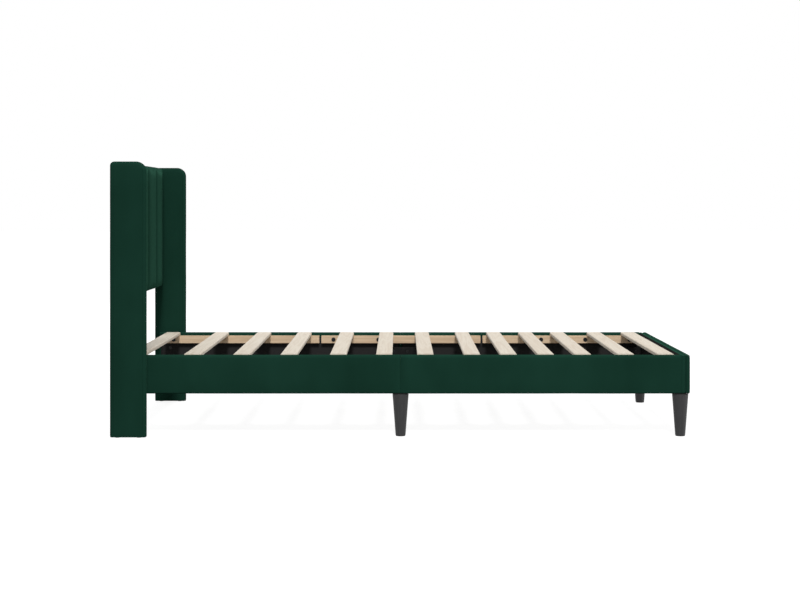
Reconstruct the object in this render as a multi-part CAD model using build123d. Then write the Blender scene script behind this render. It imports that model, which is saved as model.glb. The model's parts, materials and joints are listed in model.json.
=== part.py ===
from build123d import *
import math
import os

# Upholstered single bed frame with a winged headboard. Lengths are in millimetres.
# X runs from the headboard (-) to the foot (+), Y from the sleeper's right (-) to left (+), Z up.
# The origin is on the floor, under the middle of the bed.

# Overall size
frame_length = 2020
frame_width = 1060
headboard_height = 960

# Cloth and padding
cloth_gap = 0.3
lining_thickness = 1.0
hole_clearance = 0.25
cut_overrun = 5.0

# Wings: a board in a padded cover, standing on glides
wing_depth = 123
wing_thickness = 26
wing_pad = 4
wing_front_radius = 34
wing_back_radius = 13
wing_edge_radius = 7
glide_radius = 8
glide_thickness = 2
glide_inset = 24

# Headboard panel between the wings
panel_drop = 2
panel_height = 478
panel_wrap = 4
panel_side_wrap = 2
panel_edge_radius = 6
bar_depth = 20
bar_width = 45
stile_width = 25
board_thickness = 4
foam_depth = 5
channel_count = 5
channel_crown = 5.5
channel_shoulder = 25
shoulder_rise_share = 0.8
channel_seam_width = 3
channel_root = 4
channel_end_inset = 3
channel_end_radius = 20
channel_corner_inset = 9
channel_steps = 5
middle_stile_share = 1 / 3
back_cloth_inset = 3

# Rails
rail_height = 134.5
rail_thickness = 28
rail_pad = 5
rail_end_pad = 2
rail_top_radius = 9
rail_bottom_radius = 5
rail_inner_radius = 3
rail_end_radius = 1
rail_head_inset = 22
rail_middle_gap = 0.8
foot_corner_radius = 4
foot_edge_radius = 3.5
lip_height = 20
end_lip = 6
foot_lip = 1.5

# Ledgers that carry the slats
ledger_height = 30
ledger_thickness = 20
ledger_drop = 11.5
ledger_edge_radius = 0.8
ledger_middle_length = 650
ledger_middle_shift = 1.75
ledger_end_gap = 9
ledger_head_margin = 27
ledger_foot_margin = 12

# Slats
slat_width = 57
slat_thickness = 14
slat_edge_radius = 4
slat_end_gap = 3
first_slat_gap = 15
last_slat_gap = 22.5
slat_place_shares = [0, 0.107, 0.200, 0.289, 0.382, 0.469, 0.547, 0.635, 0.704, 0.774, 0.844, 0.925, 1]

# Blocks behind the rails
block_depth = 40
block_height = 76.5
block_edge_radius = 2
joint_block_length = 160
corner_block_length = 60

# Legs
leg_height = 145.5
leg_top_radius = 28.5
leg_bottom_radius = 17.5
leg_top_chamfer = 1.0
leg_foot_chamfer = 1.2
leg_pad_thickness = 2
plate_thickness = 3
plate_width = 48
plate_corner_radius = 5
stud_radius = 4
stud_length = 26
stud_end_gap = 3

# Fasteners
ledger_bolt_radius = 3
ledger_bolt_head_radius = 8.5
ledger_bolt_head_height = 3.2
ledger_bolt_bite = 15
ledger_inner_bolt_place = 90
ledger_middle_bolt_gap = 53
ledger_first_bolt_gap = 239
ledger_last_bolt_gap = 34
block_bolt_radius = 3
block_bolt_head_radius = 5.5
block_bolt_head_height = 3.0
block_bolt_bite = 15
block_bolt_height_shares = [0.80, 0.42]
block_end_bolt_height_shares = [0.61, 0.22]
block_end_bolt_depth_share = 0.3
joint_bolt_place_shares = [0.35, 0.78]
corner_bolt_place_shares = [0.38, 0.75]
wing_bolt_radius = 4
wing_bolt_head_radius = 7
wing_bolt_head_height = 3.5
wing_bolt_bite = 13
wing_bolt_inset = 45
wing_bolt_height_shares = [0.25, 0.55]
panel_bolt_place_shares = [0.18, 0.82]
socket_share = 0.5
socket_depth_share = 0.6
screw_radius = 2
screw_head_radius = 3.8
screw_head_depth = 2
screw_bite = 16
screw_inset = 6

# Places worked out from the sizes above
head_x = -frame_length / 2
foot_x = frame_length / 2
wing_outer_y = frame_width / 2
wing_inner_y = wing_outer_y - wing_thickness
wing_front_x = head_x + wing_depth
wing_bottom_z = glide_thickness

panel_top_z = headboard_height - panel_drop
panel_bottom_z = panel_top_z - panel_height
panel_side_y = wing_inner_y - cloth_gap
bar_back_x = head_x + lining_thickness
bar_front_x = bar_back_x + bar_depth
board_front_x = bar_front_x + board_thickness
seam_x = board_front_x + foam_depth
crown_x = seam_x + channel_crown
bar_end_y = panel_side_y - panel_side_wrap
bar_top_z = panel_top_z - panel_wrap
bar_bottom_z = panel_bottom_z + panel_wrap

rail_bottom_z = leg_pad_thickness + leg_height + plate_thickness
rail_top_z = rail_bottom_z + rail_height
rail_outer_y = wing_inner_y - cloth_gap
rail_inner_y = rail_outer_y - rail_thickness
core_outer_y = rail_outer_y - rail_pad
core_inner_y = rail_inner_y + lining_thickness
core_bottom_z = rail_bottom_z + rail_pad
core_top_z = rail_top_z - rail_pad
lip_z = rail_top_z - lip_height
foot_inner_x = foot_x - rail_thickness
rail_head_x = head_x + rail_head_inset
rail_foot_x = foot_inner_x - cloth_gap

ledger_top_z = rail_top_z - ledger_drop
ledger_bottom_z = ledger_top_z - ledger_height
ledger_inner_y = rail_inner_y - ledger_thickness
ledger_bolt_z = (ledger_top_z + ledger_bottom_z) / 2
slat_bottom_z = ledger_top_z
slat_end_y = rail_inner_y - slat_end_gap

block_inner_y = rail_inner_y - block_depth
block_top_z = rail_bottom_z + block_height
joint_block_end_x = joint_block_length / 2
corner_block_head_x = foot_inner_x - corner_block_length

leg_top_z = leg_pad_thickness + leg_height
leg_y = rail_outer_y - leg_top_radius
leg_foot_x = foot_x - leg_top_radius
screw_place = plate_width / 2 - screw_inset


def block(x0, x1, y0, y1, z0, z1):
    """A box between two corners."""
    middle = Pos((x0 + x1) / 2, (y0 + y1) / 2, (z0 + z1) / 2)
    return middle * Box(x1 - x0, y1 - y0, z1 - z0)


def edges_at(shape, x=None, y=None, z=None):
    """The edges whose middle lies at the places given."""
    wanted = [x, y, z]
    found = []
    for edge in shape.edges():
        middle = edge @ 0.5
        here = [middle.X, middle.Y, middle.Z]
        if all(w is None or math.isclose(w, h, abs_tol=cloth_gap / 10) for w, h in zip(wanted, here)):
            found.append(edge)
    return found


def mirrored(shape):
    """The same piece on the sleeper's right."""
    return mirror(shape, about=Plane.XZ)


def pair(shape):
    """Both sides' copies, as one group of separate solids."""
    return Compound(list(shape.solids()) + list(mirrored(shape).solids()))


def group(shapes):
    """Separate solids that share a node."""
    return Compound([solid for shape in shapes for solid in shape.solids()])


def seat(x, y, z, outward, length):
    """Where a fastener's head sits, the way the head faces, and its shank's length."""
    return Plane(origin=(x, y, z), z_dir=outward), length


def bolt(place, radius, head_radius, head_height):
    """A round-headed bolt with a hexagon socket."""
    plane, length = place
    shank = Pos(0, 0, -length / 2) * Cylinder(radius, length)
    head = Pos(0, 0, head_height / 2) * Cylinder(head_radius, head_height)
    head = fillet(head.edges().sort_by(Axis.Z)[-1], head_height * socket_share)
    socket_depth = head_height * socket_depth_share
    socket = extrude(RegularPolygon(head_radius * socket_share, 6), socket_depth)
    head -= Pos(0, 0, head_height - socket_depth) * socket
    return plane * (shank + head)


def bore(place, radius):
    """The hole that a fastener's shank passes through, open where the head sits."""
    plane, length = place
    depth = length + hole_clearance
    run = Cylinder(radius + hole_clearance, depth + cut_overrun)
    return plane * (Pos(0, 0, (cut_overrun - depth) / 2) * run)


def overlapping(a, b):
    """Whether two bounding boxes meet."""
    return all(
        low_a < high_b and low_b < high_a
        for low_a, high_a, low_b, high_b in (
            (a.min.X, a.max.X, b.min.X, b.max.X),
            (a.min.Y, a.max.Y, b.min.Y, b.max.Y),
            (a.min.Z, a.max.Z, b.min.Z, b.max.Z),
        )
    )


def bored(piece, holes):
    """The piece with those holes cut that reach it."""
    box = piece.bounding_box()
    for hole in holes:
        if overlapping(box, hole.bounding_box()):
            piece -= hole
    return piece


# Fastener places on the sleeper's left


def ledger_spans():
    """Head, middle and foot ledger, each from its head end to its foot end."""
    middle_start = ledger_middle_shift - ledger_middle_length / 2
    middle_end = middle_start + ledger_middle_length
    head_start = rail_head_x + ledger_head_margin
    foot_end = rail_foot_x - ledger_foot_margin
    return {
        "head": (head_start, middle_start - ledger_end_gap),
        "middle": (middle_start, middle_end),
        "foot": (middle_end + ledger_end_gap, foot_end),
    }


def ledger_bolt_seats():
    """Four bolts in the middle ledger, and three in each end one."""
    spans = ledger_spans()
    outer = spans["middle"][1] - ledger_middle_bolt_gap
    places = [-outer, -ledger_inner_bolt_place, ledger_inner_bolt_place, outer]
    first = spans["head"][1] - ledger_first_bolt_gap
    last = spans["head"][0] + ledger_last_bolt_gap
    places += [first, (first + last) / 2, last]
    first = spans["foot"][0] + ledger_first_bolt_gap
    last = spans["foot"][1] - ledger_last_bolt_gap
    places += [first, (first + last) / 2, last]
    length = ledger_thickness + lining_thickness + ledger_bolt_bite
    return [seat(x, ledger_inner_y, ledger_bolt_z, (0, -1, 0), length) for x in places]


def joint_bolt_seats():
    """Two bolts into each half of the rail, staggered in height."""
    length = block_depth + lining_thickness + block_bolt_bite
    seats = []
    for place, height in zip(joint_bolt_place_shares, block_bolt_height_shares):
        for side in (-1, 1):
            x = side * joint_block_end_x * place
            z = rail_bottom_z + block_height * height
            seats.append(seat(x, block_inner_y, z, (0, -1, 0), length))
    return seats


def corner_bolt_seats():
    """Two bolts from the corner block into the side rail, and two into the foot rail."""
    length = block_depth + lining_thickness + block_bolt_bite
    seats = []
    for place, height in zip(corner_bolt_place_shares, block_bolt_height_shares):
        x = foot_inner_x - corner_block_length * place
        z = rail_bottom_z + block_height * height
        seats.append(seat(x, block_inner_y, z, (0, -1, 0), length))
    length = corner_block_length + lining_thickness + block_bolt_bite
    y = block_inner_y + block_depth * block_end_bolt_depth_share
    for height in block_end_bolt_height_shares:
        z = rail_bottom_z + block_height * height
        seats.append(seat(corner_block_head_x, y, z, (-1, 0, 0), length))
    return seats


def wing_bolt_seats():
    """Bolts from inside the side rail and from inside the headboard panel into the wing."""
    through_rail = rail_thickness + cloth_gap + wing_pad
    through_stile = stile_width + panel_side_wrap + cloth_gap + wing_pad
    seats = []
    for height in wing_bolt_height_shares:
        z = rail_bottom_z + rail_height * height
        x = rail_head_x + wing_bolt_inset
        seats.append(seat(x, rail_inner_y, z, (0, -1, 0), through_rail + wing_bolt_bite))
    for height in panel_bolt_place_shares:
        z = panel_bottom_z + panel_height * height
        x = (bar_back_x + bar_front_x) / 2
        y = bar_end_y - stile_width
        seats.append(seat(x, y, z, (0, -1, 0), through_stile + wing_bolt_bite))
    return seats


def leg_places():
    """Axes of the middle leg and of the foot leg."""
    return {"middle": 0, "foot": leg_foot_x}


def screw_seats():
    """Four screws at the corners of each leg plate, heads down."""
    seats = []
    for x in leg_places().values():
        for dx in (-screw_place, screw_place):
            for dy in (-screw_place, screw_place):
                length = plate_thickness + screw_bite
                seats.append(seat(x + dx, leg_y + dy, leg_top_z, (0, 0, -1), length))
    return seats


def countersink(margin):
    """A flat screw head, let into the plate's underside."""
    depth = screw_head_depth
    return Pos(0, 0, -depth / 2) * Cone(screw_radius + margin, screw_head_radius + margin, depth)


def screw(place):
    """A countersunk wood screw."""
    plane, length = place
    shank = Pos(0, 0, -length / 2) * Cylinder(screw_radius, length)
    return plane * (shank + countersink(0))


def fastener_holes():
    """Every hole on the sleeper's left, for all the pieces that it passes through."""
    holes = [bore(place, ledger_bolt_radius) for place in ledger_bolt_seats()]
    holes += [bore(place, block_bolt_radius) for place in joint_bolt_seats() + corner_bolt_seats()]
    holes += [bore(place, wing_bolt_radius) for place in wing_bolt_seats()]
    holes += [bore(place, screw_radius) for place in screw_seats()]
    return holes


# Wings


def wing_outline(inset, bottom_z):
    """The wing seen from the side, drawn in from its outer face by inset."""
    width = wing_depth - 2 * inset
    height = headboard_height - inset - bottom_z
    face = Pos(head_x + wing_depth / 2, bottom_z + height / 2) * Rectangle(width, height)
    top = face.vertices().group_by(Axis.Y)[-1].sort_by(Axis.X)
    face = fillet(top[-1], wing_front_radius - inset)
    top = face.vertices().group_by(Axis.Y)[-1].sort_by(Axis.X)
    return fillet(top[0], wing_back_radius - inset)


def wing_slab(inset, bottom_z):
    """The wing's outline given its thickness, drawn in by inset on both faces."""
    outer_y = wing_outer_y - inset
    sketch = Plane.XZ.offset(-outer_y) * wing_outline(inset, bottom_z)
    return extrude(sketch, wing_thickness - 2 * inset)


def wing_core():
    """Board that stands on the floor glides and carries the headboard's weight."""
    return wing_slab(wing_pad, wing_bottom_z)


def wing_cover():
    """Padded velvet round the wing board, open underneath."""
    skin = wing_slab(0, wing_bottom_z)
    rounded = []
    for y in (wing_inner_y, wing_outer_y):
        rounded += [edge for edge in edges_at(skin, y=y) if (edge @ 0.5).Z > wing_bottom_z + cloth_gap]
    skin = fillet(rounded, wing_edge_radius)
    return skin - wing_slab(wing_pad, wing_bottom_z - cut_overrun)


def wing_glides():
    """Two nail-on glides under the wing board."""
    y = wing_outer_y - wing_thickness / 2
    glide = Pos(0, y, glide_thickness / 2) * Cylinder(glide_radius, glide_thickness)
    back = head_x + glide_inset
    front = wing_front_x - glide_inset
    return group([Pos(x, 0, 0) * glide for x in (back, front)])


# Headboard panel


def headboard_bar(bottom_z):
    """A wooden bar across the panel's whole width."""
    return block(bar_back_x, bar_front_x, -bar_end_y, bar_end_y, bottom_z, bottom_z + bar_width)


def headboard_stiles():
    """Upright members between the bars: one at each side and two between them."""
    bottom = bar_bottom_z + bar_width
    top = bar_top_z - bar_width
    reach = bar_end_y - stile_width / 2
    stiles = []
    for y in (-reach, -reach * middle_stile_share, reach * middle_stile_share, reach):
        low, high = y - stile_width / 2, y + stile_width / 2
        stiles.append(block(bar_back_x, bar_front_x, low, high, bottom, top))
    return stiles


def headboard_board():
    """Thin board on the front of the bars, behind the foam."""
    return block(bar_front_x, board_front_x, -bar_end_y, bar_end_y, bar_bottom_z, bar_top_z)


def channel_section(left, right, share, z):
    """A slice across one padded channel: flat at the root, round at the shoulders and crowned in front."""
    inset = channel_corner_inset * (1 - share)
    low, high = left + inset, right - inset
    root = seam_x - channel_root
    front = seam_x + channel_crown * share
    rise = channel_crown * share * shoulder_rise_share
    radius = (rise**2 + channel_shoulder**2) / (2 * rise)
    turn = math.atan2(channel_shoulder, radius - rise) / 2
    top = seam_x + rise
    bend = top - radius * (1 - math.cos(turn))
    sweep = radius * math.sin(turn)
    inner_low, inner_high = low + channel_shoulder, high - channel_shoulder
    back = Polyline((seam_x, high), (root, high), (root, low), (seam_x, low))
    near = ThreePointArc((seam_x, low), (bend, inner_low - sweep), (top, inner_low))
    crown = ThreePointArc((top, inner_low), (front, (low + high) / 2), (top, inner_high))
    far = ThreePointArc((top, inner_high), (bend, inner_high + sweep), (seam_x, high))
    return Plane.XY.offset(z) * make_face([back, near, crown, far])


def channel(left, right):
    """One upright channel, whose crown and sides are drawn in at its two ends."""
    bottom = panel_bottom_z + channel_end_inset
    top = panel_top_z - channel_end_inset
    sections = []
    for i in range(1, channel_steps + 1):
        turn = math.radians(90) * i / channel_steps
        rise = channel_end_radius * (1 - math.cos(turn))
        sections.append((bottom + rise, math.sin(turn)))
    sections += [(bottom + top - z, share) for z, share in reversed(sections)]
    return loft([channel_section(left, right, share, z) for z, share in sections], ruled=True)


def headboard_cushion():
    """Foam and velvet over the panel's front, top, underside and sides, sewn in upright channels."""
    cushion = block(bar_back_x, seam_x, -panel_side_y, panel_side_y, panel_bottom_z, panel_top_z)
    front = edges_at(cushion, x=seam_x, z=panel_top_z) + edges_at(cushion, x=seam_x, z=panel_bottom_z)
    cushion = fillet(front, panel_edge_radius)
    pitch = 2 * panel_side_y / channel_count
    for i in range(channel_count):
        left = -panel_side_y + i * pitch
        cushion += channel(left + channel_seam_width / 2, left + pitch - channel_seam_width / 2)
    back = bar_back_x - cut_overrun
    return cushion - block(back, board_front_x, -bar_end_y, bar_end_y, bar_bottom_z, bar_top_z)


def headboard_back_cloth():
    """Lining sheet that closes the panel's back."""
    y = panel_side_y - back_cloth_inset
    bottom = panel_bottom_z + back_cloth_inset
    return block(head_x, bar_back_x, -y, y, bottom, panel_top_z - back_cloth_inset)


# Side rails, on the sleeper's left


def rail_core(x0, x1):
    """Wooden board inside a half rail."""
    x0, x1 = x0 + rail_end_pad, x1 - rail_end_pad
    return block(x0, x1, core_inner_y, core_outer_y, core_bottom_z, core_top_z)


def lining_sheet(x0, x1):
    """Lining on a half rail's inner face, under the velvet's lip."""
    x0, x1 = x0 + end_lip, x1 - end_lip
    return block(x0, x1, rail_inner_y, core_inner_y, core_bottom_z, lip_z)


def rail_cover(x0, x1):
    """Padded velvet over a half rail's outer face, top, underside and ends, with a lip inside."""
    skin = block(x0, x1, rail_inner_y, rail_outer_y, rail_bottom_z, rail_top_z)
    skin = fillet(edges_at(skin, y=rail_outer_y, z=rail_top_z), rail_top_radius)
    skin = fillet(edges_at(skin, y=rail_outer_y, z=rail_bottom_z), rail_bottom_radius)
    skin = fillet(edges_at(skin, y=rail_inner_y, z=rail_top_z), rail_inner_radius)
    ends = [edge for x in (x0, x1) for edge in edges_at(skin, x=x, y=rail_outer_y)]
    skin = fillet(ends, rail_end_radius)
    return skin - rail_core(x0, x1) - lining_sheet(x0, x1)


# Foot rail


def foot_core():
    """Wooden board inside the foot rail."""
    x0 = foot_inner_x + lining_thickness
    x1 = foot_x - rail_pad
    return block(x0, x1, -core_outer_y, core_outer_y, core_bottom_z, core_top_z)


def foot_lining():
    """Lining on the foot rail's inner face, close up to its top and to the side rails."""
    y = rail_inner_y - foot_lip
    x1 = foot_inner_x + lining_thickness
    return block(foot_inner_x, x1, -y, y, core_bottom_z, rail_top_z - foot_lip)


def foot_cover():
    """Padded velvet over the foot rail, rounded at the bed's two foot corners."""
    skin = block(foot_inner_x, foot_x, -rail_outer_y, rail_outer_y, rail_bottom_z, rail_top_z)
    corners = [edge for y in (-rail_outer_y, rail_outer_y) for edge in edges_at(skin, x=foot_x, y=y)]
    skin = fillet(corners, foot_corner_radius)
    inside = foot_inner_x + cloth_gap
    for z in (rail_top_z, rail_bottom_z):
        rim = [edge for edge in edges_at(skin, z=z) if (edge @ 0.5).X > inside]
        skin = fillet(rim, foot_edge_radius)
    return skin - foot_core() - foot_lining()


# Ledgers, blocks and slats


def ledger(x0, x1):
    """Wooden strip on the rail's inner face, which the slats lie on."""
    strip = block(x0, x1, ledger_inner_y, rail_inner_y, ledger_bottom_z, ledger_top_z)
    inner = edges_at(strip, y=ledger_inner_y, z=ledger_top_z)
    inner += edges_at(strip, y=ledger_inner_y, z=ledger_bottom_z)
    return fillet(inner, ledger_edge_radius)


def rail_block(x0, x1):
    """Block behind the rail's lower part, which ties rails together over a leg."""
    body = block(x0, x1, block_inner_y, rail_inner_y, rail_bottom_z, block_top_z)
    return fillet(edges_at(body, y=block_inner_y), block_edge_radius)


def slat(x):
    """One slat, lying on both ledgers."""
    x0, x1 = x - slat_width / 2, x + slat_width / 2
    board = block(x0, x1, -slat_end_y, slat_end_y, slat_bottom_z, slat_bottom_z + slat_thickness)
    return fillet(board.edges().filter_by(Axis.Y), slat_edge_radius)


def slat_places():
    """Slat axes between the cushion's front and the foot rail."""
    first = crown_x + first_slat_gap + slat_width / 2
    last = foot_inner_x - last_slat_gap - slat_width / 2
    return [first + share * (last - first) for share in slat_place_shares]


# Legs


def leg_profile():
    """Half of the leg's outline, from its axis outwards."""
    bottom, top = leg_pad_thickness, leg_top_z
    taper = (leg_top_radius - leg_bottom_radius) / leg_height
    return Polyline(
        (0, bottom),
        (leg_bottom_radius - leg_foot_chamfer, bottom),
        (leg_bottom_radius + leg_foot_chamfer * taper, bottom + leg_foot_chamfer),
        (leg_top_radius - leg_top_chamfer * taper, top - leg_top_chamfer),
        (leg_top_radius - leg_top_chamfer, top),
        (0, top),
        close=True,
    )


def leg(x):
    """Round tapered leg, bored for its plate's stud."""
    body = revolve(make_face(Plane.XZ * leg_profile()), Axis.Z)
    depth = stud_length + stud_end_gap
    hole = Cylinder(stud_radius + hole_clearance, depth + cut_overrun)
    body -= Pos(0, 0, leg_top_z - depth / 2 + cut_overrun / 2) * hole
    return Pos(x, leg_y, 0) * body


def leg_plate(x):
    """Steel plate under the rail and its block, with the stud that the leg screws onto."""
    outline = RectangleRounded(plate_width, plate_width, plate_corner_radius)
    plate = Pos(x, leg_y, leg_top_z) * extrude(outline, plate_thickness)
    for plane, length in screw_seats():
        if abs(plane.origin.X - x) < plate_width:
            plate -= plane * countersink(hole_clearance)
            plate -= bore((plane, length), screw_radius)
    return plate + Pos(x, leg_y, leg_top_z - stud_length / 2) * Cylinder(stud_radius, stud_length)


def leg_pad(x):
    """Pad under a leg."""
    radius = leg_bottom_radius - leg_foot_chamfer
    return Pos(x, leg_y, leg_pad_thickness / 2) * Cylinder(radius, leg_pad_thickness)


def build():
    """Every node's shape, by name."""
    holes = fastener_holes()
    both_sides = holes + [mirrored(hole) for hole in holes]
    nodes = {}

    def two_sided(name, piece):
        piece = bored(piece, holes)
        nodes[f"{name}_left"] = piece
        nodes[f"{name}_right"] = mirrored(piece)

    two_sided("wing_core", wing_core())
    two_sided("wing_cover", wing_cover())
    nodes["wing_glides"] = pair(wing_glides())

    nodes["headboard_bottom_bar"] = headboard_bar(bar_bottom_z)
    nodes["headboard_top_bar"] = headboard_bar(bar_top_z - bar_width)
    nodes["headboard_stiles"] = group([bored(stile, both_sides) for stile in headboard_stiles()])
    nodes["headboard_board"] = headboard_board()
    nodes["headboard_cushion"] = bored(headboard_cushion(), both_sides)
    nodes["headboard_back_cloth"] = headboard_back_cloth()

    halves = {
        "head": (rail_head_x, -rail_middle_gap / 2),
        "foot": (rail_middle_gap / 2, rail_foot_x),
    }
    for half, span in halves.items():
        two_sided(f"rail_core_{half}", rail_core(*span))
        two_sided(f"rail_cover_{half}", rail_cover(*span))
        two_sided(f"rail_lining_{half}", lining_sheet(*span))

    nodes["foot_rail_core"] = bored(foot_core(), both_sides)
    nodes["foot_rail_cover"] = bored(foot_cover(), both_sides)
    nodes["foot_rail_lining"] = bored(foot_lining(), both_sides)

    for name, span in ledger_spans().items():
        two_sided(f"ledger_{name}", ledger(*span))
    two_sided("joint_block", rail_block(-joint_block_end_x, joint_block_end_x))
    two_sided("corner_block", rail_block(corner_block_head_x, foot_inner_x))

    for number, x in enumerate(slat_places(), start=1):
        nodes[f"slat_{number:02d}"] = slat(x)

    for name, x in leg_places().items():
        nodes[f"leg_{name}_left"] = leg(x)
        nodes[f"leg_{name}_right"] = mirrored(leg(x))
    nodes["leg_plates"] = pair(group([leg_plate(x) for x in leg_places().values()]))
    nodes["leg_pads"] = pair(group([leg_pad(x) for x in leg_places().values()]))

    ledger_bolts = [
        bolt(place, ledger_bolt_radius, ledger_bolt_head_radius, ledger_bolt_head_height)
        for place in ledger_bolt_seats()
    ]
    block_bolts = [
        bolt(place, block_bolt_radius, block_bolt_head_radius, block_bolt_head_height)
        for place in joint_bolt_seats() + corner_bolt_seats()
    ]
    wing_bolts = [
        bolt(place, wing_bolt_radius, wing_bolt_head_radius, wing_bolt_head_height)
        for place in wing_bolt_seats()
    ]
    nodes["ledger_bolts"] = pair(group(ledger_bolts))
    nodes["block_bolts"] = pair(group(block_bolts))
    nodes["wing_bolts"] = pair(group(wing_bolts))
    nodes["plate_screws"] = pair(group([screw(place) for place in screw_seats()]))
    return nodes


os.makedirs("parts", exist_ok=True)
for name, shape in build().items():
    export_step(shape, f"parts/{name}.step")
    print(name, len(shape.solids()), "solids", round(shape.volume / 1000, 1), "cm3")
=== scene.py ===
import json
import math
import random

import bmesh
import bpy
from mathutils import Matrix, Vector, noise


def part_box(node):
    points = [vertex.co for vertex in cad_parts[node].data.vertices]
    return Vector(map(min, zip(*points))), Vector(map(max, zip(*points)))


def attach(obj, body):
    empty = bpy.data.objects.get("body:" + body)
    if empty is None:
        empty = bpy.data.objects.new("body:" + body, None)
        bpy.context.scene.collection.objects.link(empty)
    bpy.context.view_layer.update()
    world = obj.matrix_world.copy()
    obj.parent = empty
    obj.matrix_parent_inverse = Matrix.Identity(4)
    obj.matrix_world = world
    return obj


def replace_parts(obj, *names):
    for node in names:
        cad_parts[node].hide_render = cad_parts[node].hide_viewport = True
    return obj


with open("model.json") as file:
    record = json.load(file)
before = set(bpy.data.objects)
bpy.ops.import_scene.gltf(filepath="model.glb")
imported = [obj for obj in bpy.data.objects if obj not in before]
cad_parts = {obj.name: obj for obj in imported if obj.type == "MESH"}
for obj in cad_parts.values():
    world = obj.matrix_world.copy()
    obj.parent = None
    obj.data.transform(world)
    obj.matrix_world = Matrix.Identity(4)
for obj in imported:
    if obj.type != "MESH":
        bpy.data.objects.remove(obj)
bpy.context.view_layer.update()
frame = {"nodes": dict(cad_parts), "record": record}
scene = bpy.context.scene

# Sizes are in metres. X runs from the headboard to the foot, Y from the sleeper's right to left, Z up.
mm = 0.001

# Camera: level, square to the bed's side, so uprights stay parallel
photo_width_px = 800
photo_height_px = 600
photo_focal_px = 1609.5
photo_horizon_row = 203.2
camera_place = Vector((-2 * mm, -6125 * mm, 816 * mm))
camera_sensor = 36.0
camera_reach = 100

# Meshes: how near is the same place, how squarely a face looks one way, and the steps of a rounding
same_place = 0.05 * mm
cut_slack = 0.01 * mm
flat_on = 0.99
squarely = 0.9
mainly = 0.7
partly = 0.5
slightly = 0.3
one_fold = 1
hidden_steps = 2
edge_steps = 3
corner_steps = 4
soft_steps = 5

# Velvet covers
cell = 10 * mm
long_cell = 1.5 * cell
fold_back = 0.6 * mm
cloth_wave = 0.45 * mm
cloth_wave_scale = 6.0
hidden_edge = 0.9 * mm
just_inside = 3 * mm

# Wings
wing_front_radius = 34 * mm
wing_front_steps = 12
wing_back_radius = 13 * mm
wing_back_steps = 6
wing_edge_radius = 7 * mm
wing_foot_radius = 1.2 * mm
wing_crown = 0.6 * mm
wing_top_crown = 1.5 * mm
wing_end_crown = 2.2 * mm
wing_roll = 3.2 * mm
wing_roll_reach = 17 * mm
wing_roll_fade = 1.6
wing_face_least_area = 0.01
wing_seam_inset = 2.5 * mm
wing_seam_size = 0.9 * mm
wing_wave = 0.35 * mm
wing_wave_scale = 7.0
wing_wave_seeds = {"left": 3.0, "right": 8.0}

# Rails
rail_crown = 2.0 * mm
rail_top_radius = 9 * mm
rail_fold = 4.5 * mm
rail_fold_sag = 1.4 * mm
rail_fold_reach = 14 * mm
rail_inner_radius = 4 * mm
rail_inner_slope = 1.4 * mm
rail_top_lift = 0.9 * mm
joint_reach = 28 * mm
joint_reach_behind = 12 * mm
joint_cuts = 5
joint_dip = 3.2 * mm
end_closing = 0.12 * mm
joint_closing = 0.38 * mm

# Foot rail
foot_corner_radius = 2.5 * mm
foot_edge_radius = 3 * mm
foot_crown = 1.2 * mm
foot_crown_fullness = 10
foot_seam_inset = 14.0 * mm
foot_seam_half_width = 7 * mm
foot_seam_depth = 4.8 * mm
foot_seam_cuts = (-1, -0.6, -0.35, -0.15, 0, 0.15, 0.35, 0.6, 1)
foot_inner_slope = 1.6 * mm

# Headboard channels
channel_count = 5
channel_rise = 7 * mm
panel_lift = 2.6 * mm
panel_sag = 4 * mm
panel_crown = 4 * mm
panel_crown_reach = 170 * mm
channel_pressure = 70.0
panel_top_radius = 11 * mm
panel_bottom_radius = 4 * mm
panel_cell = 8 * mm
beside_channel_seam = 2 * mm
stitched = 0.3 * mm
panel_seat = 0.1 * mm
pucker_depth = 0.35 * mm
pucker_reach = 14 * mm
pucker_scale_across = 18
pucker_scale_up = 42
simulated_frames = 20
cloth_settings = {
    "quality": 6,
    "mass": 0.15,
    "tension_stiffness": 12,
    "compression_stiffness": 12,
    "shear_stiffness": 6,
    "bending_stiffness": 0.25,
}

# Linings and the staples that hold them
lining_recess = 1 * mm
lining_thickness = 0.6 * mm
lining_wave = 0.15 * mm
lining_wave_scale = 22.0
staple_length = 10 * mm
staple_wire = 0.9 * mm
staple_pitch = 42 * mm
staple_inset = 8 * mm
staple_slip = 2 * mm
staple_turn = 12
staple_seed = 5

# Lamps: each panel's place, power, width and height
bed_middle = Vector((0, 0, 0.4))
key_place = (0.3, -5.0, 5.2)
key_power = 1.9
key_angle = math.radians(9)
lamp_panels = {
    "overhead": ((0.2, 0.2, 4.0), 20, 4.0, 3.0),
    "front": ((0.0, -6.0, 1.8), 40, 4.0, 2.4),
    "foot_side": ((9.0, -1.5, 3.0), 250, 3.0, 3.0),
    "behind": ((-3.0, 6.0, 3.0), 90, 3.0, 3.0),
}

# World and floor
world_colour = (0.97, 0.985, 1.0, 1)
world_strength = 0.27
white = (1, 1, 1, 1)
floor_half_size = 40
floor_under_bed = (0.1, 0.1, 0.1, 1)
floor_seen = (0.85, 0.85, 0.85, 1)
floor_roughness = 0.9
floor_glow = 1.25
floor_glow_share = 0.7


# Shader nodes


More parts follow.
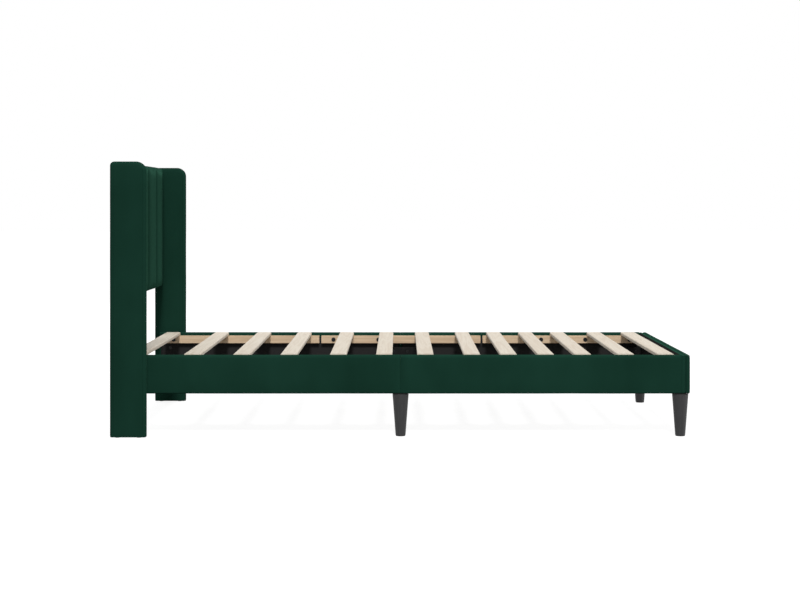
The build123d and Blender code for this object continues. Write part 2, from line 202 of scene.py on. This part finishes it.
class Number:
    """A socket that holds a number, for sums written in Python."""

    def __init__(self, nodes, socket):
        self.nodes = nodes
        self.socket = socket

    def math(self, operation, *others):
        return self.nodes.math(operation, self, *others)

    def __add__(self, other):
        return self.math("ADD", other)

    def __radd__(self, other):
        return self.math("ADD", other)

    def __sub__(self, other):
        return self.math("SUBTRACT", other)

    def __rsub__(self, other):
        return self.nodes.math("SUBTRACT", other, self)

    def __mul__(self, other):
        return self.math("MULTIPLY", other)

    def __rmul__(self, other):
        return self.math("MULTIPLY", other)

    def smooth(self, low, high):
        """0 below low, 1 above high and smooth between them."""
        sockets = {"Value": self, "From Min": low, "From Max": high}
        node = self.nodes.node("ShaderNodeMapRange", {"interpolation_type": "SMOOTHSTEP"}, sockets)
        return Number(self.nodes, node.outputs["Result"])


class Nodes:
    """A node tree, and the one way in which nodes come into it."""

    def __init__(self, tree):
        self.tree = tree

    def node(self, kind, settings=None, sockets=None):
        """A node with its settings made first, then its sockets linked or filled in."""
        node = self.tree.nodes.new(kind)
        for name, value in (settings or {}).items():
            setattr(node, name, value)
        for name, value in (sockets or {}).items():
            self.feed(node.inputs[name], value)
        return node

    def feed(self, socket, value):
        if isinstance(value, Number):
            value = value.socket
        if isinstance(value, bpy.types.NodeSocket):
            self.tree.links.new(value, socket)
        else:
            socket.default_value = value

    def math(self, operation, *terms):
        """A sum of numbers, plain ones among them."""
        node = self.node("ShaderNodeMath", {"operation": operation}, dict(enumerate(terms)))
        return Number(self, node.outputs[0])

    def mix(self, factor, a, b):
        """A colour between two others."""
        return self.node("ShaderNodeMix", {"data_type": "RGBA"}, {0: factor, 6: a, 7: b}).outputs[2]

    def mix_shader(self, factor, a, b, output):
        """Sends a mixture of two shaders to the tree's output."""
        mixed = self.node("ShaderNodeMixShader", None, {0: factor, 1: a.outputs[0], 2: b.outputs[0]})
        self.feed(self.tree.nodes[output].inputs["Surface"], mixed.outputs[0])


class Finish(Nodes):
    """A material on the bed, with patterns that follow each piece's own coordinates."""

    def __init__(self, name):
        self.material = bpy.data.materials.new(name)
        self.material.use_nodes = True
        super().__init__(self.material.node_tree)
        self.shader = self.tree.nodes["Principled BSDF"]
        self.place = self.node("ShaderNodeTexCoord").outputs["Object"]

    def set(self, **sockets):
        """Fills the main shader's sockets, with underscores for spaces."""
        for name, value in sockets.items():
            self.feed(self.shader.inputs[name.replace("_", " ").title().replace("Ior", "IOR")], value)
        return self.material

    def stretched(self, scale):
        """The piece's coordinates, drawn out along its grain."""
        return self.node("ShaderNodeMapping", None, {"Vector": self.place, "Scale": scale}).outputs["Vector"]

    def noise(self, scale, detail=2.0, roughness=0.5, distortion=0.0, place=None):
        sockets = {"Vector": place or self.place, "Scale": scale, "Detail": detail}
        sockets |= {"Roughness": roughness, "Distortion": distortion}
        return Number(self, self.node("ShaderNodeTexNoise", None, sockets).outputs["Fac"])

    def cells(self, scale, place=None, randomness=1.0):
        sockets = {"Vector": place or self.place, "Scale": scale, "Randomness": randomness}
        node = self.node("ShaderNodeTexVoronoi", None, sockets)
        return Number(self, node.outputs["Distance"])

    def bump(self, height, distance, strength, under=None):
        """Small relief, laid over another one where that is given."""
        sockets = {"Height": height, "Distance": distance, "Strength": strength}
        if under is not None:
            sockets["Normal"] = under
        return self.node("ShaderNodeBump", None, sockets).outputs["Normal"]


def shade(red, green, blue):
    """An opaque colour from its usual 0 to 255 values."""

    def linear(value):
        value /= 255
        return value / 12.92 if value <= 0.04045 else ((value + 0.055) / 1.055) ** 2.4

    return (linear(red), linear(green), linear(blue), 1.0)


# Finishes


def velvet_finish():
    """Short green pile, laid in slightly different directions over the cloth, with the sheen of those
    directions painted into its colour as broad lighter and darker patches.
    """
    f = Finish("velvet")
    nap_sheen = f.noise(2.4, detail=3.0, distortion=0.4)
    brushed = f.noise(9.0, distortion=0.2, place=f.stretched((1.0, 1.0, 0.35)))
    pile = f.noise(950.0, roughness=0.7)
    # Painted sheen: the broad nap and brushed patches lighten and darken the base colour as the pile would
    # catch light; the fine pile specks are the cloth's own colour
    tone = (nap_sheen * 0.5 + brushed * 0.3 + pile * 0.2).smooth(0.32, 0.68)
    colour = f.mix(tone, shade(22, 52, 41), shade(28, 62, 50))
    return f.set(
        base_color=colour,
        roughness=0.82 + pile * 0.1,
        normal=f.bump(pile, 0.35 * mm, strength=0.5, under=f.bump(brushed, 1.2 * mm, strength=0.4)),
        specular_ior_level=0.0,
        sheen_weight=0.16,
        sheen_roughness=0.4,
        sheen_tint=shade(115, 195, 162),
    )


def lining_finish():
    """Black non-woven cloth, spot-bonded in a small dotted pattern."""
    f = Finish("lining")
    dots = f.cells(620.0, randomness=0.15).smooth(0.2, 0.5)
    fibre = f.noise(1500.0, detail=3.0, roughness=0.7)
    tone = dots * 0.5 + fibre * 0.5
    return f.set(
        base_color=f.mix(tone, shade(34, 34, 34), shade(60, 59, 59)),
        roughness=0.7 + fibre * 0.2,
        normal=f.bump(tone, 0.25 * mm, strength=0.6),
        specular_ior_level=0.0,
    )


def wood_finish(name, pale, deep, along, knots):
    """Planed softwood with its grain along one axis."""
    f = Finish(name)

    def drawn_out(across, lengthwise):
        return f.stretched([lengthwise if axis == along else across for axis in range(3)])

    grain = f.noise(1.0, detail=3.0, roughness=0.6, distortion=1.2, place=drawn_out(34.0, 1.6))
    fibre = f.noise(1.0, roughness=0.6, place=drawn_out(520.0, 9.0))
    tone = f.noise(1.0, distortion=0.3, place=drawn_out(7.0, 1.3))
    rings = (grain * 24.0).math("SINE") * 0.5 + 0.5
    knot = 1 - f.cells(1.0, place=drawn_out(5.0, 2.2)).smooth(0.02, 0.075)
    mask = (rings * 0.34 + fibre * 0.3 + tone * 0.5).smooth(0.25, 0.95)
    colour = f.mix(mask, pale, deep)
    colour = f.mix(knot * knots, colour, shade(150, 112, 80))
    return f.set(
        base_color=colour,
        roughness=0.62 + fibre * 0.15 - mask * 0.06,
        normal=f.bump(fibre * 0.6 + rings * 0.4, 0.18 * mm, strength=0.5),
        specular_ior_level=0.3,
    )


def block_finish():
    """Black paint over sawn wood."""
    f = Finish("block_black")
    fibre = f.noise(1.0, detail=3.0, roughness=0.6, place=f.stretched((9.0, 420.0, 420.0)))
    scuff = f.noise(55.0, detail=3.0, roughness=0.6).smooth(0.55, 0.8)
    return f.set(
        base_color=f.mix(scuff, shade(14, 14, 14), shade(30, 29, 28)),
        roughness=0.6 + fibre * 0.25,
        normal=f.bump(fibre, 0.2 * mm, strength=0.6),
        specular_ior_level=0.15,
    )


def leg_finish():
    """Charcoal moulded plastic with a faint upright grain."""
    f = Finish("leg_plastic")
    upright = f.stretched((260.0, 260.0, 7.0))
    grain = f.noise(1.0, detail=3.0, roughness=0.6, distortion=0.5, place=upright)
    speck = f.noise(1400.0, roughness=0.6)
    tone = (grain * 0.8 + speck * 0.2).smooth(0.3, 0.75)
    return f.set(
        base_color=f.mix(tone, shade(33, 33, 34), shade(47, 47, 48)),
        roughness=0.46 + grain * 0.16,
        normal=f.bump(grain * 0.7 + speck * 0.3, 0.12 * mm, strength=0.6),
        specular_ior_level=0.4,
    )


def pad_finish():
    """Pressed black felt."""
    f = Finish("pad_plastic")
    felt = f.noise(900.0, detail=4.0, roughness=0.75)
    return f.set(
        base_color=f.mix(felt, shade(14, 14, 14), shade(40, 40, 40)),
        roughness=0.9,
        normal=f.bump(felt, 0.3 * mm, strength=0.8),
    )


def black_steel_finish():
    """Black oxide with a slight orange peel."""
    f = Finish("black_steel")
    peel = f.noise(700.0)
    worn = f.noise(240.0, detail=3.0, roughness=0.6).smooth(0.6, 0.85)
    return f.set(
        base_color=f.mix(worn, shade(10, 10, 11), shade(44, 43, 42)),
        roughness=0.42 + peel * 0.16,
        metallic=worn * 0.4,
        normal=f.bump(peel, 0.05 * mm, strength=0.5),
        specular_ior_level=0.25,
    )


def bright_steel_finish():
    """Zinc plating with fine turning marks."""
    f = Finish("bright_steel")
    marks = f.noise(1.0, place=f.stretched((2600.0, 2600.0, 300.0)))
    cloud = f.noise(180.0)
    return f.set(
        base_color=f.mix(cloud, shade(168, 170, 174), shade(208, 209, 210)),
        roughness=0.24 + marks * 0.16,
        metallic=1.0,
        normal=f.bump(marks, 0.03 * mm, strength=0.5),
    )


finishes = {
    "velvet": velvet_finish(),
    "lining": lining_finish(),
    "slat_wood": wood_finish(
        "slat_wood", shade(229, 219, 203), shade(215, 201, 182), along=1, knots=0.5
    ),
    "ledger_wood": wood_finish(
        "ledger_wood", shade(232, 205, 172), shade(214, 184, 150), along=0, knots=0.6
    ),
    "frame_board": wood_finish(
        "frame_board", shade(205, 178, 140), shade(178, 146, 108), along=0, knots=0.8
    ),
    "block_black": block_finish(),
    "leg_plastic": leg_finish(),
    "pad_plastic": pad_finish(),
    "black_steel": black_steel_finish(),
    "bright_steel": bright_steel_finish(),
}


def dress_cad_nodes():
    """Gives each CAD node the finish of its material slot."""
    for part in frame["record"]["subparts"]:
        node = frame["nodes"][part["node"]]
        node.data.materials.clear()
        node.data.materials.append(finishes[part["material_slot"]])


# Mesh helpers


def add_piece(name, form, slot):
    """Links a finished mesh as a piece that rides on the bed, in its material slot's finish."""
    mesh = bpy.data.meshes.new(name)
    form.to_mesh(mesh)
    form.free()
    piece = bpy.data.objects.new(name, mesh)
    scene.collection.objects.link(piece)
    mesh.materials.append(finishes[slot])
    mesh.shade_smooth()
    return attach(piece, "root")


def solid_box(low, high):
    """A cube stretched between two corners."""
    form = bmesh.new()
    bmesh.ops.create_cube(form, size=1.0)
    size = high - low
    bmesh.ops.scale(form, vec=size, verts=form.verts)
    bmesh.ops.translate(form, vec=(low + high) / 2, verts=form.verts)
    return form


def edges_near(form, x=None, y=None, z=None):
    """The edges whose two ends lie at the places given."""
    wanted = (x, y, z)
    return [
        edge
        for edge in form.edges
        if all(
            place is None or all(abs(vert.co[axis] - place) < same_place for vert in edge.verts)
            for axis, place in enumerate(wanted)
        )
    ]


def round_over(form, edges, radius, segments):
    """Rounds edges over, or folds them once where there is one segment."""
    bmesh.ops.bevel(
        form,
        geom=edges,
        offset=radius,
        offset_type="OFFSET",
        segments=segments,
        profile=0.5,
        affect="EDGES",
        material=-1,
        clamp_overlap=True,
    )


def slice_across(form, axis, places):
    """Cuts the whole form with planes across one axis."""
    normal = Vector((0, 0, 0))
    normal[axis] = 1
    for place in places:
        geom = form.verts[:] + form.edges[:] + form.faces[:]
        bmesh.ops.bisect_plane(form, geom=geom, dist=cut_slack, plane_co=normal * place, plane_no=normal)


def spaced(low, high, step):
    """Evenly spaced places strictly between two ends, about a step apart."""
    count = max(1, round((high - low) / step))
    return [low + (high - low) * i / count for i in range(1, count)]


def soften(form, depth, seed, scale):
    """Lets the cloth rise and fall a little, as it does over foam."""
    for vert in form.verts:
        sway = noise.noise(vert.co * scale + Vector((seed, 0, 0)))
        vert.co += vert.normal * depth * sway


def smooth_piece(piece):
    """Rounds a piece's facets off."""
    rounding = piece.modifiers.new("smooth", "SUBSURF")
    rounding.levels = 1
    rounding.render_levels = 1
    return piece


def bulge(place, low, high, fullness=4):
    """1 through most of a padded face, falling to 0 at its two edges."""
    t = (place - low) / (high - low) * 2 - 1
    return max(0.0, 1 - abs(t) ** fullness)


def ease(share):
    """0 below 0, 1 above 1 and smooth between them."""
    share = min(1.0, max(0.0, share))
    return share * share * (3 - 2 * share)


# Wings


def top_distance(place, high):
    """How far a point of the wing lies inside its top edge, which bends down at the front corner."""
    centre_x, centre_z = high.x - wing_front_radius, high.z - wing_front_radius
    if place.x < centre_x or place.z < centre_z:
        return high.z - place.z
    depth = wing_front_radius - math.hypot(place.x - centre_x, place.z - centre_z)
    height_share = (place.z - centre_z) / wing_front_radius
    return depth + wing_roll_reach * (1 - ease(height_share * wing_roll_fade))


def wing_cover(side):
    """Velvet sewn round a padded board: two faces and a strip that runs round its edge."""
    name = f"wing_cover_{side}"
    low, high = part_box(name)
    low = low - Vector((0, 0, fold_back))
    middle = (low.y + high.y) / 2
    form = solid_box(low, high)
    round_over(form, edges_near(form, x=high.x, z=high.z), wing_front_radius, wing_front_steps)
    round_over(form, edges_near(form, x=low.x, z=high.z), wing_back_radius, wing_back_steps)
    rim = []
    for y in (low.y, high.y):
        rim += [e for e in edges_near(form, y=y) if max(v.co.z for v in e.verts) > low.z + mm]
    round_over(form, rim, wing_edge_radius, edge_steps)
    round_over(form, edges_near(form, z=low.z), wing_foot_radius, hidden_steps)
    bmesh.ops.recalc_face_normals(form, faces=form.faces)
    faces = [f for f in form.faces if abs(f.normal.y) > flat_on and f.calc_area() > wing_face_least_area]
    # The seam round each face: a flat border, then a fold down and up again
    size = wing_seam_size
    for thickness, depth in ((wing_seam_inset, 0), (size, -size), (size, size)):
        bmesh.ops.inset_region(form, faces=faces, thickness=thickness, depth=depth, use_even_offset=True)
    slice_across(form, 0, spaced(low.x, high.x, cell))
    slice_across(form, 1, [middle])
    roll_start = high.z - wing_roll_reach
    slice_across(form, 2, spaced(low.z, roll_start, cell) + spaced(roll_start, high.z, cell / 2))
    form.normal_update()
    # Faces and edges swell, and the faces roll in towards the top
    for vert in form.verts:
        if abs(vert.normal.y) > squarely:
            swell = wing_crown * bulge(vert.co.x, low.x, high.x) * bulge(vert.co.z, low.z, high.z)
            vert.co.y += math.copysign(swell, vert.normal.y)
        elif abs(vert.normal.y) < slightly and vert.normal.z > -partly:
            crown = wing_top_crown if vert.normal.z > mainly else wing_end_crown
            vert.co += vert.normal * crown * bulge(vert.co.y, low.y, high.y)
        roll = wing_roll * (1 - ease(top_distance(vert.co, high) / wing_roll_reach))
        vert.co.y -= (vert.co.y - middle) * roll / (high.y - middle)
    form.normal_update()
    soften(form, wing_wave, wing_wave_seeds[side], wing_wave_scale)
    piece = add_piece(f"wing_velvet_{side}", form, "velvet")
    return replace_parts(smooth_piece(piece), name)


# Rails


def recess(form, axis, face_place, depth, limits):
    """Sinks the part of a flat face within limits on the other axes, to hold a lining sheet flush."""
    faces = []
    for face in form.faces:
        middle = face.calc_center_median()
        inside = all(low < middle[other] < high for other, low, high in limits)
        if abs(middle[axis] - face_place) < same_place and inside:
            faces.append(face)
    sunk = bmesh.ops.extrude_face_region(form, geom=faces)
    verts = [g for g in sunk["geom"] if isinstance(g, bmesh.types.BMVert)]
    move = Vector((0, 0, 0))
    move[axis] = depth
    bmesh.ops.translate(form, vec=move, verts=verts)
    bmesh.ops.delete(form, geom=faces, context="FACES")


def rail_cover(half, side):
    """Padded velvet over a half rail, wrapped over its top and ends and turned in behind."""
    name = f"rail_cover_{half}_{side}"
    low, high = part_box(name)
    lining_low, lining_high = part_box(f"rail_lining_{half}_{side}")
    outer, inner = (high.y, low.y) if side == "left" else (low.y, high.y)
    outwards = math.copysign(1, outer)
    joint_at_head = half == "foot"
    low = low - Vector((joint_closing if joint_at_head else end_closing, 0, 0))
    high = high + Vector((end_closing if joint_at_head else joint_closing, 0, 0))
    form = solid_box(low, high)
    round_over(form, edges_near(form, y=outer, z=high.z), rail_top_radius, soft_steps)
    round_over(form, edges_near(form, y=outer, z=low.z), rail_fold, one_fold)
    round_over(form, edges_near(form, y=outer, z=low.z + rail_fold), hidden_edge, hidden_steps)
    round_over(form, edges_near(form, y=inner, z=high.z), rail_inner_radius, hidden_steps)
    round_over(form, edges_near(form, y=inner, z=low.z), hidden_edge, hidden_steps)
    for x in (low.x, high.x):
        round_over(form, edges_near(form, x=x), hidden_edge, hidden_steps)
    joint, joint_way = (low.x, 1) if joint_at_head else (high.x, -1)
    reach = joint_reach if joint_at_head else joint_reach_behind
    near_joint = [joint + joint_way * reach * i / joint_cuts for i in range(1, joint_cuts + 1)]
    near_ends = [low.x + just_inside, high.x - just_inside]
    across = [lining_low.x, lining_high.x] + near_joint + near_ends
    slice_across(form, 0, across + spaced(low.x, high.x, long_cell))
    slice_across(form, 2, [lining_low.z, lining_high.z] + spaced(low.z, high.z, cell))
    limits = [(0, lining_low.x, lining_high.x), (2, lining_low.z, lining_high.z)]
    recess(form, 1, inner, outwards * lining_recess, limits)
    form.normal_update()
    # The outer face swells, and draws in where the two halves meet
    for vert in form.verts:
        if vert.normal.y * outwards > slightly:
            slack = max(0.0, 1 - abs(vert.co.x - joint) / reach) ** 2
            swell = rail_crown * bulge(vert.co.z, low.z, high.z)
            vert.co.y += outwards * (swell * (1 - slack) - joint_dip * slack)
    ridge = abs(outer) - rail_top_radius
    # The lower fold hangs, and the top stands highest near its outer edge and slopes inwards
    for vert in form.verts:
        if vert.co.z < low.z + 2 * rail_fold:
            vert.co.z -= rail_fold_sag * ease(1 - (abs(outer) - abs(vert.co.y)) / rail_fold_reach)
        if vert.co.z > high.z - rail_inner_radius - mm:
            vert.co.z -= rail_inner_slope * ease((ridge - abs(vert.co.y)) / (ridge - abs(inner)))
        if vert.co.z > high.z - rail_top_radius - mm:
            vert.co.z += rail_top_lift * ease((vert.co.z - high.z + rail_top_radius) / rail_top_radius)
    form.normal_update()
    # The cloth over the foam is never quite flat
    for vert in form.verts:
        if vert.normal.y * outwards > -partly and low.x + mm < vert.co.x < high.x - mm:
            vert.co += vert.normal * cloth_wave * noise.noise(vert.co * cloth_wave_scale)
    piece = add_piece(f"rail_velvet_{half}_{side}", form, "velvet")
    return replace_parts(smooth_piece(piece), name)


def foot_cover():
    """Padded velvet over the foot rail: an outer panel sewn to the ends and top a little way in."""
    low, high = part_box("foot_rail_cover")
    lining_low, lining_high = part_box("foot_rail_lining")
    low = low - Vector((end_closing, 0, 0))
    seam = high.x - foot_seam_inset
    form = solid_box(low, high)
    for y in (low.y, high.y):
        round_over(form, edges_near(form, x=high.x, y=y), foot_corner_radius, corner_steps)
    for z, radius, steps in ((high.z, foot_edge_radius, edge_steps), (low.z, rail_fold, one_fold)):
        rim = [e for e in edges_near(form, z=z) if max(v.co.x for v in e.verts) > low.x + mm]
        round_over(form, rim, radius, steps)
    round_over(form, edges_near(form, z=low.z + rail_fold), hidden_edge, hidden_steps)
    round_over(form, edges_near(form, x=low.x), hidden_edge, hidden_steps)
    width = foot_seam_half_width
    beside_seam = [seam + width * share for share in foot_seam_cuts]
    slice_across(form, 0, [low.x + just_inside] + beside_seam)
    slice_across(form, 1, [lining_low.y, lining_high.y] + spaced(low.y, high.y, long_cell))
    slice_across(form, 2, [lining_low.z, lining_high.z] + spaced(low.z, high.z, cell))
    limits = [(1, lining_low.y, lining_high.y), (2, lining_low.z, lining_high.z)]
    recess(form, 0, low.x, lining_recess, limits)
    form.normal_update()
    # The outer panel swells, and the top slopes inwards from the seam
    for vert in form.verts:
        if vert.normal.x > mainly:
            vert.co.x += foot_crown * bulge(vert.co.z, low.z, high.z, foot_crown_fullness)
    for vert in form.verts:
        if vert.co.x < seam + mm and vert.normal.z > partly:
            vert.co.z -= foot_inner_slope * ease((seam - vert.co.x) / (seam - low.x))
    form.normal_update()
    # The seam draws the cloth into a valley, and the rest of it is never quite flat
    for vert in form.verts:
        if abs(vert.co.x - seam) < width:
            vert.co -= vert.normal * foot_seam_depth * (1 - abs(vert.co.x - seam) / width) ** 2
        elif vert.normal.x > -partly:
            vert.co += vert.normal * cloth_wave * noise.noise(vert.co * cloth_wave_scale)
    piece = add_piece("foot_rail_velvet", form, "velvet")
    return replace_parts(smooth_piece(piece), "foot_rail_cover")


# Headboard


def seam_distance(y, half_width):
    """How far a point of the panel lies from the nearest upright seam, or from the panel's side."""
    pitch = 2 * half_width / channel_count
    across = (y + half_width) % pitch
    return min(across, pitch - across)


def headboard_cushion():
    """Foam and velvet over the panel's front, sewn through in upright channels."""
    low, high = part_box("headboard_cushion")
    low = low - Vector((0, 0, panel_sag))
    high = high + Vector((0, 0, panel_lift))
    seam_x = high.x - channel_rise
    back = low.x - panel_seat
    form = solid_box(Vector((back, low.y, low.z)), Vector((seam_x, high.y, high.z)))
    round_over(form, edges_near(form, x=seam_x, z=high.z), panel_top_radius, soft_steps)
    round_over(form, edges_near(form, x=seam_x, z=low.z), panel_bottom_radius, edge_steps)
    round_over(form, edges_near(form, x=back), hidden_edge, hidden_steps)
    half_width = high.y
    pitch = 2 * half_width / channel_count
    # Upright cuts: one in each seam, one close to each side of it, and the rest evenly between
    places = []
    for i in range(channel_count):
        left = low.y + i * pitch
        if i > 0:
            places.append(left)
        places += [left + beside_channel_seam, left + pitch - beside_channel_seam]
        places += spaced(left, left + pitch, panel_cell)
    slice_across(form, 1, places)
    slice_across(form, 2, spaced(low.z, high.z, panel_cell))
    form.normal_update()
    piece = add_piece("headboard_velvet", form, "velvet")
    mesh = piece.data
    held = piece.vertex_groups.new(name="held")
    for vert in mesh.vertices:
        if vert.co.x < seam_x - panel_top_radius or seam_distance(vert.co.y, half_width) < stitched:
            held.add([vert.index], 1.0, "REPLACE")
    inflate(piece, "held", channel_pressure, channel_rise)
    # The front crowns over the panel's width, and its cloth puckers beside the seams
    for vert in mesh.vertices:
        forward = max(0.0, (vert.co.x - back) / (seam_x - back))
        vert.co.x += panel_crown * ease((half_width - abs(vert.co.y)) / panel_crown_reach) * forward
        if vert.co.x > seam_x - panel_top_radius:
            near = math.exp(-seam_distance(vert.co.y, half_width) / pucker_reach)
            across, up = vert.co.y * pucker_scale_across, vert.co.z * pucker_scale_up
            wave = noise.noise(Vector((across, round(vert.co.y / pitch), up)))
            vert.co.x += pucker_depth * near * wave
    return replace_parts(smooth_piece(piece), "headboard_cushion")


def inflate(piece, held, pressure, most):
    """Blows the cloth up against its pinned seams and keeps its shape, never inwards or past most."""
    start = [(vert.co.copy(), vert.normal.copy()) for vert in piece.data.vertices]
    cloth = piece.modifiers.new("cloth", "CLOTH")
    for name, value in cloth_settings.items():
        setattr(cloth.settings, name, value)
    cloth.settings.vertex_group_mass = held
    cloth.settings.use_pressure = True
    cloth.settings.uniform_pressure_force = pressure
    cloth.settings.effector_weights.gravity = 0
    for number in range(1, simulated_frames + 1):
        scene.frame_set(number)
    settled = piece.evaluated_get(bpy.context.evaluated_depsgraph_get())
    places = [vert.co.copy() for vert in settled.to_mesh().vertices]
    settled.to_mesh_clear()
    piece.modifiers.remove(cloth)
    scene.frame_set(1)
    for vert, (first, outwards), last in zip(piece.data.vertices, start, places):
        step = last - first
        step += outwards * max(0.0, -step.dot(outwards))
        if step.length > 0:
            step *= most * math.tanh(step.length / most) / step.length
        vert.co = first + step


# Linings


def lining_sheet(name, piece_name, axis):
    """Black cloth stapled flat over the back of a rail or of the headboard."""
    low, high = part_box(name)
    spans = [i for i in range(3) if i != axis]
    form = bmesh.new()
    bmesh.ops.create_grid(form, x_segments=1, y_segments=1, size=0.5)
    turn = Matrix.Rotation(math.radians(90), 4, "X" if axis == 1 else "Y")
    bmesh.ops.transform(form, matrix=turn, verts=form.verts)
    size = high - low
    size[axis] = 1
    bmesh.ops.scale(form, vec=size, verts=form.verts)
    bmesh.ops.translate(form, vec=(low + high) / 2, verts=form.verts)
    for span in spans:
        slice_across(form, span, spaced(low[span], high[span], long_cell))
    for vert in form.verts:
        vert.co[axis] += lining_wave * noise.noise(vert.co * lining_wave_scale)
    bmesh.ops.recalc_face_normals(form, faces=form.faces)
    piece = add_piece(piece_name, form, "lining")
    thick = piece.modifiers.new("thickness", "SOLIDIFY")
    thick.thickness = lining_thickness
    thick.offset = 0
    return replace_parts(piece, name)


def back_staples():
    """Staples round the edge of the headboard's back cloth, a little askew."""
    low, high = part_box("headboard_back_cloth")
    chance = random.Random(staple_seed)
    face = (low.x + high.x) / 2 - lining_thickness / 2
    rows = []
    for z in (low.z + staple_inset, high.z - staple_inset):
        rows += [(y, z, 0) for y in spaced(low.y, high.y, staple_pitch)]
    for y in (low.y + staple_inset, high.y - staple_inset):
        rows += [(y, z, 90) for z in spaced(low.z, high.z, staple_pitch)]
    form = bmesh.new()
    half = Vector((staple_wire, staple_length, staple_wire)) / 2
    for y, z, turn in rows:
        staple = solid_box(-half, half)
        round_over(staple, staple.edges[:], staple_wire / 3, hidden_steps)
        askew = Matrix.Rotation(math.radians(turn + chance.uniform(-staple_turn, staple_turn)), 4, "X")
        slips = [chance.uniform(-staple_slip, staple_slip) for _ in range(2)]
        place = Matrix.Translation(Vector((face, y + slips[0], z + slips[1]))) @ askew
        bmesh.ops.transform(staple, matrix=place, verts=staple.verts)
        mesh = bpy.data.meshes.new("staple")
        staple.to_mesh(mesh)
        staple.free()
        form.from_mesh(mesh)
        bpy.data.meshes.remove(mesh)
    return add_piece("back_cloth_staples", form, "bright_steel")


# Stage


def make_camera():
    """The camera that took the photo, as its perspective gives it."""
    data = bpy.data.cameras.new("camera")
    data.sensor_width = camera_sensor
    data.lens = photo_focal_px * camera_sensor / photo_width_px
    data.shift_y = (photo_horizon_row - photo_height_px / 2) / photo_width_px
    data.clip_end = camera_reach
    camera = bpy.data.objects.new("camera", data)
    camera.location = camera_place
    camera.rotation_euler = (math.radians(90), 0, 0)
    scene.collection.objects.link(camera)
    scene.camera = camera


def seen_directly(nodes):
    """1 for the rays that show the backdrop itself, straight or in gloss or glass."""
    rays = nodes.node("ShaderNodeLightPath").outputs
    seen = Number(nodes, rays["Is Camera Ray"])
    for name in ("Is Glossy Ray", "Is Transmission Ray"):
        seen = seen.math("MAXIMUM", rays[name])
    return seen


def make_world():
    """Weak even light on the bed, and plain white where the world itself is seen."""
    world = bpy.data.worlds.new("studio")
    scene.world = world
    world.use_nodes = True
    nodes = Nodes(world.node_tree)
    light = world.node_tree.nodes["Background"]
    nodes.feed(light.inputs["Color"], world_colour)
    nodes.feed(light.inputs["Strength"], world_strength)
    backdrop = nodes.node("ShaderNodeBackground", None, {"Color": white, "Strength": 1.0})
    nodes.mix_shader(seen_directly(nodes), light, backdrop, "World Output")


def make_floor():
    """A white floor that keeps the bed's soft shadow."""
    form = bmesh.new()
    bmesh.ops.create_grid(form, x_segments=1, y_segments=1, size=floor_half_size)
    mesh = bpy.data.meshes.new("floor")
    form.to_mesh(mesh)
    form.free()
    floor = bpy.data.objects.new("floor", mesh)
    scene.collection.objects.link(floor)
    material = bpy.data.materials.new("floor")
    material.use_nodes = True
    nodes = Nodes(material.node_tree)
    seen = seen_directly(nodes)
    base = material.node_tree.nodes["Principled BSDF"]
    nodes.feed(base.inputs["Base Color"], nodes.mix(seen, floor_under_bed, floor_seen))
    nodes.feed(base.inputs["Roughness"], floor_roughness)
    glow = nodes.node("ShaderNodeEmission", None, {"Strength": floor_glow})
    nodes.mix_shader(seen * floor_glow_share, base, glow, "Material Output")
    mesh.materials.append(material)


def make_lamp(name, kind, place, power, **settings):
    """A lamp that shines at the middle of the bed."""
    data = bpy.data.lights.new(name, kind)
    data.energy = power
    for setting, value in settings.items():
        setattr(data, setting, value)
    lamp = bpy.data.objects.new(name, data)
    lamp.location = place
    lamp.rotation_euler = (bed_middle - Vector(place)).to_track_quat("-Z", "Y").to_euler()
    scene.collection.objects.link(lamp)


def make_lamps():
    """A soft key from above in front, and large weak panels over, in front of and round the bed."""
    make_lamp("key", "SUN", key_place, key_power, angle=key_angle)
    for name, (place, power, width, height) in lamp_panels.items():
        make_lamp(name, "AREA", place, power, shape="RECTANGLE", size=width, size_y=height)


# The whole scene

make_camera()
make_world()
make_floor()
make_lamps()
dress_cad_nodes()
for side in ("left", "right"):
    wing_cover(side)
    for half in ("head", "foot"):
        rail_cover(half, side)
        lining_sheet(f"rail_lining_{half}_{side}", f"rail_cloth_{half}_{side}", 1)
foot_cover()
lining_sheet("foot_rail_lining", "foot_rail_cloth", 0)
headboard_cushion()
lining_sheet("headboard_back_cloth", "headboard_cloth", 0)
back_staples()

scene.view_settings.view_transform = "Standard"
